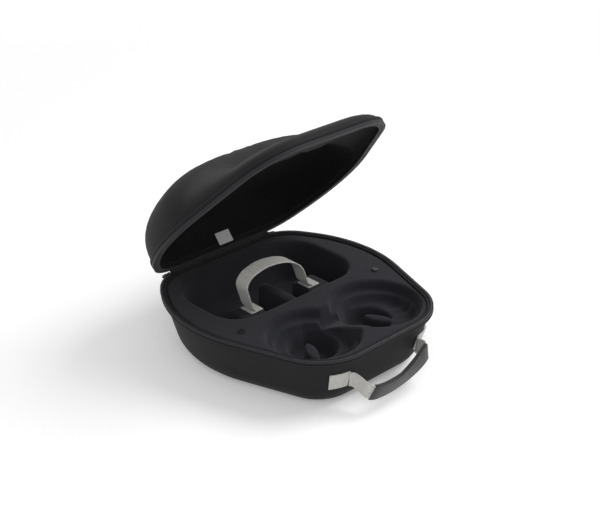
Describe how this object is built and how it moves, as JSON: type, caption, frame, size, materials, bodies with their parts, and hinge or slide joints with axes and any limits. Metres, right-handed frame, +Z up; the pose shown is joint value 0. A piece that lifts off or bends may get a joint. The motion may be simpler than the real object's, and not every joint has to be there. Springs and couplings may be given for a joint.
{
  "type": "moulded zip carrying case",
  "caption": "Moulded zip case with a domed hinged lid, a shaped tray of round cups and a strapped hollow, and a webbing handle",
  "frame": {"origin": "on the flat underside, under the middle of the hinge-to-front width line", "axes": "+Z up, -Y towards the handle at the front, +Y towards the fabric hinge, X along the hinge"},
  "size_m": [0.29, 0.3395, 0.2866],
  "materials": {
    "shell_cloth": "matt black woven cloth laminated over moulded foam",
    "tray_cloth": "soft charcoal brushed cloth over moulded foam",
    "lining_cloth": "smooth black knitted lining",
    "zip_cloth": "dark grey woven zip tape",
    "zip_coil": "black nylon coil",
    "webbing": "light grey melange webbing",
    "grip_cloth": "black cloth sleeve",
    "stud_plastic": "black moulded plastic",
    "tag_weave": "pale bare woven tag",
    "zip_metal": "black-coated die-cast metal"
  },
  "bodies": {
    "base": {"base_shell": "shell_cloth", "base_binding": "shell_cloth", "base_zip_tape": "zip_cloth", "base_zip_coil": "zip_coil", "hinge_panel_base": "zip_cloth", "tray_insert": "tray_cloth", "wing_stud_left": "stud_plastic", "wing_stud_right": "stud_plastic", "strap_patch_left": "webbing", "strap_patch_right": "webbing", "strap_tail_left": "webbing", "strap_tail_right": "webbing", "handle_patch_left": "webbing", "handle_patch_right": "webbing", "handle_tail_left": "webbing", "handle_tail_right": "webbing", "zip_slider_left": "zip_metal", "zip_slider_right": "zip_metal"},
    "lid": {"lid_shell": "shell_cloth", "lid_lining": "lining_cloth", "lid_binding": "shell_cloth", "lid_zip_tape": "zip_cloth", "lid_zip_coil": "zip_coil", "lid_edge_tape": "zip_cloth", "lid_tag": "tag_weave", "hinge_panel_lid": "zip_cloth"},
    "handle": {"handle_webbing": "webbing", "grip_sleeve": "grip_cloth"},
    "strap": {"hold_down_strap": "webbing"},
    "pull_left": {"zip_pull_left": "zip_metal"},
    "pull_right": {"zip_pull_right": "zip_metal"}
  },
  "joints": [
    {"name": "lid_hinge", "type": "hinge", "parent": "base", "child": "lid", "pos_m": [0, 0.151, 0.07], "axis": [-1, 0, 0], "range_deg": [-46.5, 73.5]},
    {"name": "handle_swing", "type": "hinge", "parent": "base", "child": "handle", "pos_m": [0, -0.146, 0.036], "axis": [-1, 0, 0], "range_deg": [-30, 75], "deforming": ["handle_tail_left", "handle_tail_right"]},
    {"name": "strap_swing", "type": "hinge", "parent": "base", "child": "strap", "pos_m": [0, 0.039, 0.06], "axis": [1, 0, 0], "range_deg": [-35, 35], "deforming": ["strap_tail_left", "strap_tail_right"]},
    {"name": "left_pull_swing", "type": "hinge", "parent": "base", "child": "pull_left", "pos_m": [-0.08559, 0.1533, 0.0657], "axis": [0.9511, 0.309, 0], "range_deg": [0, 90]},
    {"name": "right_pull_swing", "type": "hinge", "parent": "base", "child": "pull_right", "pos_m": [0.08559, 0.1533, 0.0657], "axis": [0.9511, -0.309, 0], "range_deg": [0, 90]}
  ]
}
